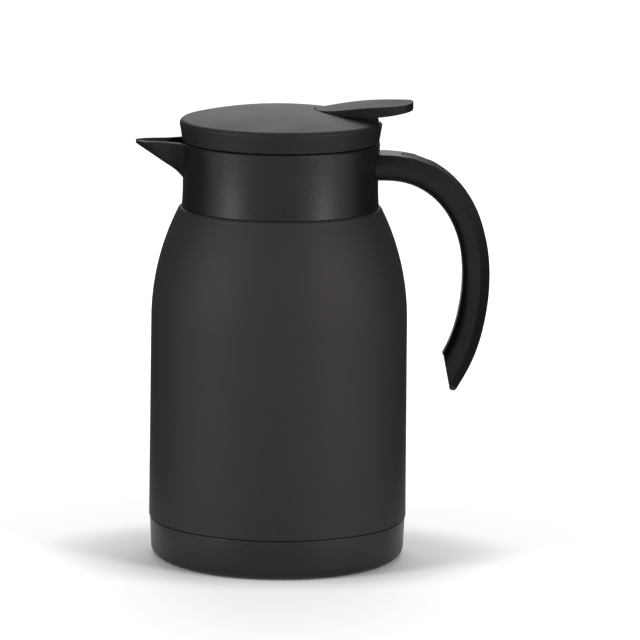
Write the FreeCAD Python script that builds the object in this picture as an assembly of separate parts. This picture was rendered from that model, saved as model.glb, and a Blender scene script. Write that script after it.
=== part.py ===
import FreeCAD, Part
import math
import os

# Thermal jug. Millimetres, +Z up, origin on the table under the jug's axis.
# The spout points to -X and the handle to +X.

Vector = FreeCAD.Vector
ORIGIN = Vector(0, 0, 0)
UP = Vector(0, 0, 1)
ALONG_X = Vector(1, 0, 0)
ALONG_Y = Vector(0, 1, 0)

# Driving dimensions: steel flask
BODY_R = 64.85
BODY_TAPER = 0.55
SEAM_Z = 20.8
SHOULDER_Z = 121.0
SHOULDER_END_R = 51.3
SHOULDER_ROUND = 1.7
SHOULDER_BOW = 0.5
SHELF_Z = 178.1
SHELF_R = 49.2
NECK_R = 46.0
NECK_RISE = 13.9
NECK_ROUND = 0.9
SHELL_WALL = 0.6
SHELL_STEP = 0.5
SHELL_FOOT_Z = 7.4
FLASK_WALL = 0.5
VACUUM_GAP = 5.2
FLASK_NECK_R = 41.6
FLASK_THROAT_R = 46.8
FLASK_FLOOR_Z = 14.5
FLASK_CORNER_R = 10.0
FLASK_SHOULDER_Z = 116.0
FLASK_THROAT_DROP = 6.1
FLASK_NECK_RISE = 2.4
PLATE_T = 0.8
PLATE_FIT = 0.05
PORT_R = 1.0
BEAD_R = 3.0
BEAD_H = 1.4
GETTER_R = 6.0
GETTER_H = 2.0
GETTER_X = 28.0

# Driving dimensions: base cap and pad
CAP_STEP = 0.4
CAP_WALL = 1.65
CAP_FIT = 0.2
CAP_DRAFT = 0.7
CAP_EDGE_R = 5.0
CAP_FLOOR = 2.4
CAP_SEAM_GAP = 0.3
RIB_COUNT = 8
RIB_T = 1.6
RIB_HUB_R = 15.0
RIB_GAP = 0.1
PAD_R = 50.0
PAD_T = 1.6
PAD_PROUD = 0.4
PAD_FIT = 0.15

# Driving dimensions: collar and spout
COLLAR_GAP = 0.2
COLLAR_H = 32.7
COLLAR_FOOT_R = 49.35
COLLAR_WAIST_R = 48.9
COLLAR_WAIST_RISE = 10.9
COLLAR_LIP_R = 49.65
COLLAR_LIP_ROUND = 0.9
COLLAR_FIT = 0.2
COLLAR_BORE_R = 45.2
LEDGE_R = 42.4
LEDGE_T = 2.4
GASKET_T = 1.5
SPOUT_REACH = 72.4
SPOUT_ROOT_X = 49.0
SPOUT_SHARES = (-0.2, 0.0, 0.13, 0.33, 0.6, 0.86, 1.0)
SPOUT_HALF_WIDTHS = (19.0, 13.0, 11.2, 8.8, 7.7, 5.7, 2.6)
SPOUT_FLARES = (4.5, 1.3, 0.15, 0.0, 0.0, 0.0, 0.0)
SPOUT_NOSE_H = 1.7
SPOUT_KEEL_DROP = 17.4
SPOUT_LAND = 0.5
SPOUT_WALL = 1.4
SPOUT_FLOOR = 1.8
SPOUT_NOSE_FLOOR = 0.8
SPOUT_DEG = 180.0
KEEL_HALF_SHARE = 0.42
KEEL_RISE_SHARE = 0.2
TROUGH_LIFT = 0.3

# Driving dimensions: handle
HANDLE_TOP_Z = 205.6
HANDLE_ROOT_Z = 192.6
HANDLE_BEND_X = 52.0
HANDLE_WIDEST_Z = 143.3
HANDLE_REACH = 105.1
HANDLE_THICK = 13.6
HANDLE_SQUARENESS = 2.2
HANDLE_CURL_OUT_R = 112.0
HANDLE_CURL_IN_R = 87.3
HANDLE_CURL_DEG = 34.0
HANDLE_ROOT_HALF = 13.8
HANDLE_FLARE = ((90.0, 13.6), (72.0, 13.0), (54.0, 12.5))
HANDLE_GRIP_HALF = 12.2
HANDLE_GRIP_DEG = (36.0, 18.0, 0.0)
HANDLE_END_HALF = 7.6
HANDLE_CURL_SHARES = (0.35, 0.7, 1.0)
HANDLE_ROUND_R = 6.0
HANDLE_BEVEL_DROP = 4.8
HANDLE_BEVEL_SHARE = 0.32
HANDLE_SEAT = 0.1
HANDLE_TIP_Z = 85.5
HANDLE_NOSE_HALF = 2.3
HANDLE_NOSE_BACK = 1.0
HANDLE_TONGUE_R = 9.5
HANDLE_TONGUE_DROP = 0.6
HANDLE_END_CUT_H = 18.6
HANDLE_END_CUT_RUN = 3.2
STRIP_T = 1.8
STRIP_SUNK = 0.25
STRIP_HALF = 8.6
STRIP_GRIP_HALF = 7.0
STRIP_TIP_HALF = 1.6
STRIP_START_DEG = 82.0
STRIP_WIDE_DEG = (76.0, 66.0)
STRIP_GRIP_DEG = (50.0, 32.0, 16.0, 0.0, -11.0)
STRIP_END_DEG = -20.0
STRIP_FIT = 0.15
STRIP_FIT_DEG = 0.6
HANDLE_SCREW_Z = 199.0
HANDLE_SCREW_Y = 7.0
HANDLE_SCREW_R = 2.0
HANDLE_SCREW_LEN = 14.0
HANDLE_SCREW_HEAD_R = 3.4
HANDLE_SCREW_HEAD_H = 1.7
HANDLE_SCREW_SINK = 0.4
SCREW_FIT = 0.05

# Driving dimensions: lid cap
LID_GAP = 0.6
LID_FOOT_R = 49.25
LID_RIM_R = 50.6
LID_RIM_RISE = 8.3
LID_EDGE_W = 2.0
LID_EDGE_BOW = 0.56
LID_WALL = 2.0
LID_INNER_R = 47.4
DOME_APEX_RISE = 16.5
DOME_R = 205.0
DOME_T = 2.2
NOTCH_RISE = 8.3
NOTCH_FIT = 0.5

# Driving dimensions: stopper, cover and lid screws
STOPPER_R = 44.75
STOPPER_TOP_RISE = -0.4
STOPPER_WALL = 2.4
STOPPER_FLANGE_T = 2.2
STOPPER_FLANGE_IN_R = 35.0
STOPPER_SHELF_GAP = 0.8
PLUG_R = 40.0
PLUG_LEN = 15.2
PLUG_WALL = 2.4
PLUG_FLOOR = 2.4
WINDOW_COUNT = 6
WINDOW_DEG = 38.0
WINDOW_LOW = 0.6
WINDOW_H = 6.4
PORT_HOLE_R = 9.0
SEAT_LIP_W = 1.2
SEAT_LIP_H = 0.9
SEAL_GROOVE_Z = 3.0
SEAL_GROOVE_H = 4.0
SEAL_GROOVE_D = 1.0
SEAL_FIT = 0.05
SEAL_LIP_H = 1.2
COVER_R = 46.8
COVER_T = 1.8
COVER_BOSS_R = 6.0
COVER_BOSS_UP = 0.6
COVER_BOSS_DOWN = 4.2
COVER_GASKET_IN_R = 41.6
COVER_GASKET_OUT_R = 44.0
COVER_GASKET_T = 0.8
STEM_FIT = 0.05
ORING_R = 0.9
LID_SCREW_COUNT = 3
LID_SCREW_PCR = 38.6
LID_SCREW_R = 1.5
LID_SCREW_HOLE_R = 1.7
LID_SCREW_HEAD_R = 2.8
LID_SCREW_HEAD_H = 2.0
LID_SCREW_REACH = 6.0
LID_BOSS_R = 3.4

# Driving dimensions: thumb lever and its pin
LEVER_TIP_X = 16.7
LEVER_WIDE_X = 42.2
LEVER_END_X = 65.9
LEVER_HALF = 15.3
LEVER_FRONT_SQUARE = 2.2
LEVER_REAR_SQUARE = 2.8
LEAF_POINT_COUNT = 24
LEVER_TOP_RISES = ((-0.1, 15.5), (0.1, 15.75), (0.35, 17.42), (0.58, 18.6), (0.78, 19.0), (1.1, 20.8))
LEVER_EDGE_R = 0.6
LEVER_CROWN = 0.4
LEVER_UNDER_RISE = 13.3
LEVER_UNDER_X = 44.2
LEVER_UNDER_FALL = 2.0
TAB_END_RISE = 17.4
TAB_SAG = 0.6
LEVER_SKIRT_X = 29.5
LEVER_SKIRT_RISE = 9.4
LEVER_SLOT = 0.5
SLOT_END_X = 35.0
POST_HALF = 12.0
POST_R = 48.3
POST_FRONT_X = 27.0
POST_RISE = 4.2
POST_TOP_RISE = 14.3
POST_SWING = 2.8
POST_SLOT = 0.7
DISH_X = 54.5
DISH_HALF_X = 8.2
DISH_HALF_Y = 10.8
DISH_DEPTH = 1.0
DISH_FLOOR_RISE = 18.1
PIN_X = 34.0
PIN_RISE = 7.4
PIN_R = 1.5
PIN_FIT = 0.04
LUG_GAP = 0.6
LUG_T = 3.6
LUG_HALF_X = 2.8
LUG_DROP = 2.9
ARM_HALF = 7.0
ARM_T = 2.4
ARM_RISE = 2.8
ARM_END_X = -5.0
ARM_KNEE_X = 8.4
FORK_FIT = 0.5
RIDGE_R = 0.8

# Driving dimensions: pour valve
STEM_R = 3.0
FOOT_R = 7.0
FOOT_H = 1.7
VALVE_SEAL_R = 12.4
VALVE_SEAL_T = 1.6
VALVE_DISC_R = 12.0
VALVE_DISC_T = 2.4
VALVE_REST_GAP = 0.1
CLIP_R = 6.4
CLIP_T = 1.3
CLIP_GAP = 0.15
STEM_TOP = 0.8
SPRING_R = 7.7
SPRING_WIRE_R = 0.55
SPRING_TURN_COUNT = 6
SPRING_GAP = 0.3

# Heights that several pieces share
NECK_TOP_Z = SHELF_Z + NECK_RISE
LIP_Z = NECK_TOP_Z + FLASK_WALL
LEDGE_Z = LIP_Z + GASKET_T
LEDGE_TOP_Z = LEDGE_Z + LEDGE_T
COLLAR_FOOT_Z = SHELF_Z + COLLAR_GAP
COLLAR_TOP_Z = COLLAR_FOOT_Z + COLLAR_H
LID_Z = COLLAR_TOP_Z + LID_GAP
STOPPER_TOP_Z = LID_Z + STOPPER_TOP_RISE
COVER_TOP_Z = STOPPER_TOP_Z + COVER_T
SHELF_IN_Z = LEDGE_TOP_Z + STOPPER_SHELF_GAP
PLUG_Z = SHELF_IN_Z - PLUG_LEN
DOME_TOP_Z = LID_Z + DOME_APEX_RISE
PIN_Z = LID_Z + PIN_RISE
SEAT_Z = PLUG_Z + PLUG_FLOOR + SEAT_LIP_H
VALVE_Z = SEAT_Z + VALVE_REST_GAP
DISC_Z = VALVE_Z + VALVE_SEAL_T
DISC_TOP_Z = DISC_Z + VALVE_DISC_T
ARM_Z = LID_Z + ARM_RISE
CLIP_Z = ARM_Z + ARM_T + RIDGE_R + CLIP_GAP
PLATE_Z = SHELL_FOOT_Z + PLATE_T

# Radii that several pieces share
SHOULDER_R = BODY_R - BODY_TAPER
FOOT_SHELL_R = BODY_R - CAP_STEP - CAP_WALL - CAP_FIT
FLASK_R = SHOULDER_R - SHELL_WALL - VACUUM_GAP - FLASK_WALL
OVER = 5.0


def at(r, z):
    """A point of an outline that is turned about the jug's axis."""
    return Vector(r, 0, z)


def closed_wire(start, steps):
    """Closed wire from a start point; a step is a point, or two points for an arc through the first."""
    edges = []
    here = start
    for step in list(steps) + [start]:
        if isinstance(step, tuple):
            edges.append(Part.Arc(here, step[0], step[1]).toShape())
            here = step[1]
        elif here.distanceToPoint(step) > 1e-6:
            edges.append(Part.makeLine(here, step))
            here = step
    return Part.Wire(edges)


def turned(start, *steps):
    """Solid of revolution of a closed outline about the jug's axis."""
    return Part.Face(closed_wire(start, steps)).revolve(ORIGIN, UP, 360)


def tube(r_in, r_out, z_low, z_high):
    """Plain ring about the jug's axis."""
    return turned(at(r_in, z_low), at(r_out, z_low), at(r_out, z_high), at(r_in, z_high))


def disc(r, z_low, z_high, x=0.0, y=0.0):
    """Upright cylinder."""
    return Part.makeCylinder(r, z_high - z_low, Vector(x, y, z_low), UP)


def bulge_mid(r0, z0, r1, z1):
    """Middle point of an arc that leaves (r0, z0) straight up and ends at (r1, z1)."""
    half = (z1 - z0) / 2
    arc_r = ((r0 - r1) ** 2 + (z1 - z0) ** 2) / (2 * (r0 - r1))
    return at(r0 - arc_r + math.sqrt(arc_r ** 2 - half ** 2), z0 + half)


def corner_mid(centre_r, centre_z, radius, degrees):
    """Point on a corner's arc, with the angle counted from +X towards +Z."""
    a = math.radians(degrees)
    return at(centre_r + radius * math.cos(a), centre_z + radius * math.sin(a))


def bowed(start, end, bow):
    """Arc step to an end point that bows out from its chord, to the right of its way up."""
    chord = end - start
    side = Vector(chord.z, 0, -chord.x).normalize()
    return (start + end) * 0.5 + side * bow, end


def spaced(count, start_deg=0.0):
    """Angles of a pattern round the axis."""
    return [start_deg + i * 360.0 / count for i in range(count)]


def turned_copy(shape, degrees):
    """Copy of a shape turned about the jug's axis."""
    copy = shape.copy()
    copy.rotate(ORIGIN, UP, degrees)
    return copy


def fused(shapes):
    """One solid from several."""
    return shapes[0].multiFuse(shapes[1:]).removeSplitter()


# Steel flask
def shell_solid(inset, foot_z, top_z):
    """The body's turned form, drawn in by a wall thickness."""
    body_r = BODY_R - inset
    shoulder_r = SHOULDER_R - inset
    end_r = SHOULDER_END_R - inset
    end_z = SHELF_Z - SHOULDER_ROUND
    shelf_z = SHELF_Z - inset
    neck_r = NECK_R - inset
    neck_centre = neck_r + NECK_ROUND
    return turned(
        at(0, foot_z),
        at(FOOT_SHELL_R - inset, foot_z),
        at(FOOT_SHELL_R - inset, SEAM_Z + inset),
        at(body_r, SEAM_Z + SHELL_STEP + inset),
        at(shoulder_r, SHOULDER_Z),
        (bulge_mid(shoulder_r, SHOULDER_Z, end_r, end_z), at(end_r, end_z)),
        bowed(at(end_r, end_z), at(SHELF_R, shelf_z), SHOULDER_BOW),
        at(neck_centre, shelf_z),
        (corner_mid(neck_centre, shelf_z + NECK_ROUND, NECK_ROUND, 225), at(neck_r, shelf_z + NECK_ROUND)),
        at(neck_r, top_z),
        at(0, top_z),
    )


def make_outer_shell():
    """Drawn steel body with a stepped-in foot and a straight neck."""
    inside = shell_solid(SHELL_WALL, SHELL_FOOT_Z - OVER, NECK_TOP_Z + OVER)
    return shell_solid(0, SHELL_FOOT_Z, NECK_TOP_Z).cut(inside)


def flask_solid(grow, top_z):
    """The inner flask's turned form, grown by its wall."""
    r = FLASK_R + grow
    throat_r = FLASK_THROAT_R + grow
    throat_z = SHELF_Z - FLASK_THROAT_DROP
    corner = FLASK_CORNER_R + grow
    floor_z = FLASK_FLOOR_Z - grow
    return turned(
        at(0, floor_z),
        at(r - corner, floor_z),
        (corner_mid(r - corner, floor_z + corner, corner, -45), at(r, floor_z + corner)),
        at(r, FLASK_SHOULDER_Z),
        (bulge_mid(r, FLASK_SHOULDER_Z, throat_r, throat_z), at(throat_r, throat_z)),
        at(FLASK_NECK_R + grow, SHELF_Z + FLASK_NECK_RISE),
        at(FLASK_NECK_R + grow, top_z),
        at(0, top_z),
    )


def make_inner_flask():
    """Inner flask, its mouth turned out over the outer neck."""
    wall = flask_solid(FLASK_WALL, LIP_Z).fuse(disc(NECK_R, NECK_TOP_Z, LIP_Z))
    return wall.cut(flask_solid(0, LIP_Z + OVER))


def make_bottom_plate():
    """Plate that closes the vacuum space, with the evacuation port."""
    plate = disc(FOOT_SHELL_R - SHELL_WALL - PLATE_FIT, SHELL_FOOT_Z, PLATE_Z)
    return plate.cut(disc(PORT_R, SHELL_FOOT_Z - OVER, PLATE_Z + OVER))


def make_sealing_bead():
    """Bead that plugs the evacuation port from below."""
    low = SHELL_FOOT_Z - BEAD_H
    dome_r = (BEAD_R ** 2 + BEAD_H ** 2) / (2 * BEAD_H)
    middle_r = BEAD_R / 2
    middle_z = low + dome_r - math.sqrt(dome_r ** 2 - middle_r ** 2)
    return turned(
        at(0, low),
        (at(middle_r, middle_z), at(BEAD_R, SHELL_FOOT_Z)),
        at(PORT_R - PLATE_FIT, SHELL_FOOT_Z),
        at(PORT_R - PLATE_FIT, PLATE_Z),
        at(0, PLATE_Z),
    )


def make_getter_pellet():
    """Pellet that keeps the vacuum, on the bottom plate."""
    return disc(GETTER_R, PLATE_Z, PLATE_Z + GETTER_H, GETTER_X)


# Base cap and pad
def make_base_cap():
    """Plastic cup round the foot of the shell, ribbed under the bottom plate."""
    top_r = BODY_R - CAP_STEP
    low_r = top_r - CAP_DRAFT
    top_z = SEAM_Z - CAP_SEAM_GAP
    in_r = top_r - CAP_WALL
    floor_z = PAD_T + CAP_FLOOR
    in_corner = CAP_EDGE_R - CAP_WALL
    cup = turned(
        at(0, PAD_PROUD),
        at(low_r - CAP_EDGE_R, PAD_PROUD),
        (corner_mid(low_r - CAP_EDGE_R, PAD_PROUD + CAP_EDGE_R, CAP_EDGE_R, -45),
         at(low_r, PAD_PROUD + CAP_EDGE_R)),
        at(top_r, top_z),
        at(in_r, top_z),
        at(in_r, SHELL_FOOT_Z - RIB_GAP),
        at(in_r - in_corner, floor_z),
        at(0, floor_z),
    )
    rib_h = SHELL_FOOT_Z - RIB_GAP - floor_z
    rib_len = FOOT_SHELL_R - in_corner - RIB_HUB_R
    rib = Part.makeBox(rib_len, RIB_T, rib_h, Vector(RIB_HUB_R - RIB_T / 2, -RIB_T / 2, floor_z))
    hub = tube(RIB_HUB_R - RIB_T, RIB_HUB_R, floor_z, floor_z + rib_h)
    ribs = [turned_copy(rib, a) for a in spaced(RIB_COUNT)]
    whole = fused([cup, hub] + ribs)
    return whole.cut(disc(PAD_R + PAD_FIT, PAD_PROUD - OVER, PAD_T))


def make_base_pad():
    """Non-slip disc that the jug stands on."""
    return disc(PAD_R, 0, PAD_T)


# Collar and spout
def collar_outside(grow):
    """The collar's turned outside, waisted, as a solid without a bore."""
    foot_r = COLLAR_FOOT_R + grow
    waist_r = COLLAR_WAIST_R + grow
    lip_r = COLLAR_LIP_R + grow
    lip_z = COLLAR_TOP_Z - COLLAR_LIP_ROUND
    waist_z = COLLAR_FOOT_Z + COLLAR_WAIST_RISE
    lip_in = lip_r - COLLAR_LIP_ROUND
    return turned(
        at(0, COLLAR_FOOT_Z),
        at(foot_r, COLLAR_FOOT_Z),
        (at(waist_r, waist_z), at(lip_r, lip_z)),
        (corner_mid(lip_in, lip_z, COLLAR_LIP_ROUND, 45), at(lip_in, COLLAR_TOP_Z)),
        at(0, COLLAR_TOP_Z),
    )


def beak_section(x, half, depth, rise):
    """Rounded V across the spout: half its width at the rim, its depth, and a rise above the rim."""
    rim = COLLAR_TOP_Z
    low_half = KEEL_HALF_SHARE * half
    low_z = rim - (1 - KEEL_RISE_SHARE) * depth
    keel = Vector(x, 0, rim - depth)
    steps = [
        Vector(x, -half, rim - SPOUT_LAND),
        Vector(x, -low_half, low_z),
        (keel, Vector(x, low_half, low_z)),
        Vector(x, half, rim - SPOUT_LAND),
        Vector(x, half, rim + rise),
    ]
    return closed_wire(Vector(x, -half, rim + rise), steps)


def spout_stations():
    """Stations along the spout: x, half width at the rim, keel depth."""
    run = SPOUT_REACH - SPOUT_ROOT_X
    fall = SPOUT_KEEL_DROP - SPOUT_NOSE_H
    stations = []
    for share, half, flare in zip(SPOUT_SHARES, SPOUT_HALF_WIDTHS, SPOUT_FLARES):
        depth = SPOUT_KEEL_DROP - share * fall + flare
        stations.append((-SPOUT_ROOT_X - share * run, half, depth))
    return stations


def spout_loft(stations, rise):
    """Solid through the spout's sections."""
    return Part.makeLoft([beak_section(x, half, depth, rise) for x, half, depth in stations], True)


def trough():
    """Tool that hollows the spout, open into the collar's bore and at the nose."""
    outer = spout_stations()
    floor = COLLAR_TOP_Z - LEDGE_TOP_Z - TROUGH_LIFT
    stations = [(OVER - COLLAR_BORE_R, outer[1][1] - SPOUT_WALL, floor)]
    for x, half, depth in outer[1:-1]:
        stations.append((x, half - SPOUT_WALL, min(floor, depth - SPOUT_FLOOR)))
    nose_half = outer[-1][1] - SPOUT_WALL
    stations.append((-SPOUT_REACH - SPOUT_LAND, nose_half, SPOUT_NOSE_H - SPOUT_NOSE_FLOOR))
    return spout_loft(stations, OVER)


def make_collar():
    """Collar with the open spout, the ledge over the flask's lip and the bore for the stopper."""
    body = fused([collar_outside(0), spout_loft(spout_stations(), 0)])
    relief = disc(NECK_R + NECK_ROUND + COLLAR_FIT, COLLAR_FOOT_Z - OVER, COLLAR_FOOT_Z + NECK_ROUND)
    skirt = disc(NECK_R + COLLAR_FIT, COLLAR_FOOT_Z - OVER, LEDGE_Z)
    throat = disc(LEDGE_R, LEDGE_Z - OVER, LEDGE_TOP_Z + OVER)
    bore = disc(COLLAR_BORE_R, LEDGE_TOP_Z, COLLAR_TOP_Z + OVER)
    holed = body
    for tool in (relief, skirt, throat, bore, trough()):
        holed = holed.cut(tool)
    for y in (-HANDLE_SCREW_Y, HANDLE_SCREW_Y):
        start = Vector(0, y, HANDLE_SCREW_Z)
        sink = Part.makeCylinder(HANDLE_SCREW_HEAD_R + SCREW_FIT, screw_seat_x(), start, ALONG_X)
        shank = Part.makeCylinder(HANDLE_SCREW_R + SCREW_FIT, BODY_R, start, ALONG_X)
        holed = holed.cut(sink).cut(shank)
    return holed


def make_collar_gasket():
    """Ring between the flask's lip and the collar's ledge."""
    return tube(LEDGE_R, NECK_R, LIP_Z, LEDGE_Z)


# Handle
def screw_seat_x():
    """Where the heads of the handle screws seat, inside the collar's wall."""
    return COLLAR_BORE_R + HANDLE_SCREW_HEAD_H + HANDLE_SCREW_SINK


def hook_point(reach_x, reach_z, curl_r, degrees):
    """Point of the hook's side outline: squared ellipse above its widest level, an arc below it."""
    if degrees >= 0:
        power = 2.0 / HANDLE_SQUARENESS
        a = math.radians(degrees)
        x = HANDLE_BEND_X + (reach_x - HANDLE_BEND_X) * max(math.cos(a), 0.0) ** power
        z = HANDLE_WIDEST_Z + (reach_z - HANDLE_WIDEST_Z) * math.sin(a) ** power
        return Vector(x, 0, z)
    a = math.radians(degrees)
    return Vector(reach_x - curl_r + curl_r * math.cos(a), 0, HANDLE_WIDEST_Z + curl_r * math.sin(a))


def hook_pair(degrees):
    """Inner and outer point of the hook at one station."""
    inner = hook_point(HANDLE_REACH - HANDLE_THICK, HANDLE_ROOT_Z, HANDLE_CURL_IN_R, degrees)
    outer = hook_point(HANDLE_REACH, HANDLE_TOP_Z, HANDLE_CURL_OUT_R, degrees)
    return inner, outer


def hook_section(inner, outer, half):
    """Section of the hook: rounded on the finger side, bevelled beside the flat back."""
    along = (outer - inner).normalize()
    depth = (outer - inner).Length
    corner = HANDLE_ROUND_R * (1 - math.sqrt(0.5))

    def place(u, v):
        return inner + along * u + ALONG_Y * v

    side = half - HANDLE_ROUND_R
    crease = depth - HANDLE_BEVEL_DROP
    back = half - HANDLE_BEVEL_SHARE * half
    steps = [
        place(0, side),
        (place(corner, half - corner), place(HANDLE_ROUND_R, half)),
        place(crease, half),
        place(depth, back),
        place(depth, -back),
        place(crease, -half),
        place(HANDLE_ROUND_R, -half),
        (place(corner, corner - half), place(0, -side)),
    ]
    return closed_wire(place(0, -side), steps)


def hook_stations():
    """Stations down the hook: angle and half width, from the root to the curled end."""
    stations = list(HANDLE_FLARE) + [(angle, HANDLE_GRIP_HALF) for angle in HANDLE_GRIP_DEG]
    for share in HANDLE_CURL_SHARES:
        half = HANDLE_GRIP_HALF + (HANDLE_END_HALF - HANDLE_GRIP_HALF) * share
        stations.append((-HANDLE_CURL_DEG * share, half))
    return stations


def end_cut():
    """Tool that cuts the hook's end aslant and rounds its tip."""
    tip = hook_tip()
    low = HANDLE_TIP_Z - 2 * OVER
    corner = Vector(tip.x - HANDLE_NOSE_HALF - HANDLE_END_CUT_RUN, 0, HANDLE_TIP_Z + HANDLE_END_CUT_H)
    near = Vector(tip.x - HANDLE_NOSE_HALF, 0, HANDLE_TIP_Z + HANDLE_NOSE_HALF)
    far = Vector(tip.x + HANDLE_NOSE_HALF, 0, HANDLE_TIP_Z + HANDLE_NOSE_HALF)
    beyond = Vector(HANDLE_REACH, 0, low)
    back = Vector(HANDLE_BEND_X, 0, low)
    above = Vector(HANDLE_BEND_X, 0, HANDLE_TIP_Z + HANDLE_END_CUT_H + OVER)
    wire = closed_wire(above, [corner, near, (tip, far), beyond, back])
    wide = 2 * HANDLE_ROOT_HALF
    face = Part.Face(wire)
    face.translate(Vector(0, -wide / 2, 0))
    return face.extrude(Vector(0, wide, 0))


def hook_tip():
    """Lowest point of the hook."""
    drop = HANDLE_WIDEST_Z - HANDLE_TIP_Z
    outer_x = HANDLE_REACH - HANDLE_CURL_OUT_R + math.sqrt(HANDLE_CURL_OUT_R ** 2 - drop ** 2)
    return Vector(outer_x - HANDLE_NOSE_BACK, 0, HANDLE_TIP_Z)


def tongue():
    """Prism that rounds the hook's lower end, seen from behind."""
    wide = 2 * HANDLE_ROOT_HALF
    level = HANDLE_TIP_Z - HANDLE_TONGUE_DROP + HANDLE_TONGUE_R
    steps = [
        Vector(0, -HANDLE_TONGUE_R, level),
        (Vector(0, 0, level - HANDLE_TONGUE_R), Vector(0, HANDLE_TONGUE_R, level)),
        Vector(0, wide, level),
        Vector(0, wide, COLLAR_TOP_Z),
        Vector(0, -wide, COLLAR_TOP_Z),
    ]
    return Part.Face(closed_wire(Vector(0, -wide, level), steps)).extrude(Vector(2 * HANDLE_REACH, 0, 0))


def strip_section(degrees, half, grow):
    """Flat section of the back strip, sunk into the hook's outer face."""
    inner, outer = hook_pair(degrees)
    along = (outer - inner).normalize()
    top = outer - along * STRIP_SUNK
    if grow:
        top = outer + along * OVER
    low = outer - along * (STRIP_SUNK + STRIP_T + grow)
    wide = half + grow
    corners = [low + ALONG_Y * wide, top + ALONG_Y * wide, top - ALONG_Y * wide]
    return closed_wire(low - ALONG_Y * wide, corners)


def strip_solid(grow, extra_deg):
    """The back strip: a leaf that starts pointed at the bend and runs down the grip."""
    stations = [(STRIP_START_DEG + extra_deg, STRIP_TIP_HALF)]
    stations += [(angle, STRIP_HALF) for angle in STRIP_WIDE_DEG]
    stations += [(angle, STRIP_GRIP_HALF) for angle in STRIP_GRIP_DEG]
    stations.append((STRIP_END_DEG - extra_deg, STRIP_TIP_HALF))
    return Part.makeLoft([strip_section(angle, half, grow) for angle, half in stations], True)


def make_handle_back_strip():
    """Leaf-shaped inlay in the back of the hook."""
    return strip_solid(0, 0)


def make_handle():
    """Open hook, seated on the collar, with the recess for its back strip."""
    root_in, root_out = hook_pair(90.0)
    back = Vector(HANDLE_BEND_X - COLLAR_BORE_R, 0, 0)
    sections = [hook_section(root_in - back, root_out - back, HANDLE_ROOT_HALF)]
    for angle, half in hook_stations():
        inner, outer = hook_pair(angle)
        sections.append(hook_section(inner, outer, half))
    hook = Part.makeLoft(sections, True)
    hook = hook.common(tongue()).cut(collar_outside(HANDLE_SEAT)).cut(end_cut())
    hook = hook.cut(strip_solid(STRIP_FIT, STRIP_FIT_DEG))
    depth = HANDLE_SCREW_LEN + SCREW_FIT
    for y in (-HANDLE_SCREW_Y, HANDLE_SCREW_Y):
        start = Vector(screw_seat_x(), y, HANDLE_SCREW_Z)
        hook = hook.cut(Part.makeCylinder(HANDLE_SCREW_R + SCREW_FIT, depth, start, ALONG_X))
    return hook


def make_handle_screws():
    """Two screws from inside the collar into the handle's root."""
    screws = []
    for y in (-HANDLE_SCREW_Y, HANDLE_SCREW_Y):
        start = Vector(screw_seat_x(), y, HANDLE_SCREW_Z)
        head_start = start - ALONG_X * HANDLE_SCREW_HEAD_H
        head = Part.makeCylinder(HANDLE_SCREW_HEAD_R, HANDLE_SCREW_HEAD_H, head_start, ALONG_X)
        shank = Part.makeCylinder(HANDLE_SCREW_R, HANDLE_SCREW_LEN, start, ALONG_X)
        screws.append(fused([head, shank]))
    return Part.makeCompound(screws)


# Lid cap
def dome_z(r):
    """Height of the lid's dome at a distance from the axis."""
    return DOME_TOP_Z - DOME_R + math.sqrt(DOME_R ** 2 - r ** 2)


def lid_form():
    """The lid cap's turned shell: side wall that leans out, rounded edge, shallow dome."""
    rim_z = LID_Z + LID_RIM_RISE
    edge_r = LID_RIM_R - LID_EDGE_W
    rim = at(LID_RIM_R, rim_z)
    edge = at(edge_r, dome_z(edge_r))
    in_r = LID_INNER_R
    in_top = dome_z(in_r) - DOME_T
    outside = turned(
        at(0, LID_Z),
        at(LID_FOOT_R, LID_Z),
        rim,
        bowed(rim, edge, LID_EDGE_BOW),
        (at(edge_r / 2, dome_z(edge_r / 2)), at(0, DOME_TOP_Z)),
    )
    inside = turned(
        at(0, LID_Z - OVER),
        at(in_r, LID_Z - OVER),
        at(in_r, in_top),
        (at(in_r / 2, dome_z(in_r / 2) - DOME_T), at(0, DOME_TOP_Z - DOME_T)),
    )
    return outside.cut(inside)


def leaf_point(degrees, grow):
    """Point of the lever's leaf outline, seen from above."""
    a = math.radians(degrees)
    c = math.cos(a)
    if c >= 0:
        length = LEVER_END_X - LEVER_WIDE_X + grow
        power = 2.0 / LEVER_REAR_SQUARE
    else:
        length = LEVER_WIDE_X - LEVER_TIP_X + grow
        power = 2.0 / LEVER_FRONT_SQUARE
    x = LEVER_WIDE_X + math.copysign(length * abs(c) ** power, c)
    y = math.copysign((LEVER_HALF + grow) * abs(math.sin(a)) ** power, math.sin(a))
    return x, y


def leaf_prism(grow, z_low, z_high):
    """Upright prism of the leaf outline."""
    points = [Vector(*leaf_point(angle, grow), z_low) for angle in spaced(LEAF_POINT_COUNT)]
    curve = Part.BSplineCurve()
    curve.interpolate(Points=points, PeriodicFlag=True)
    return Part.Face(Part.Wire(curve.toShape())).extrude(Vector(0, 0, z_high - z_low))


def post_prism(grow, z_low, z_high):
    """Upright prism of the lever's post, ended by a circle about the jug's axis."""
    half = POST_HALF + grow
    block = Part.makeBox(POST_R, 2 * half, z_high - z_low, Vector(POST_FRONT_X, -half, z_low))
    return block.common(disc(POST_R + grow, z_low, z_high))


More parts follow.
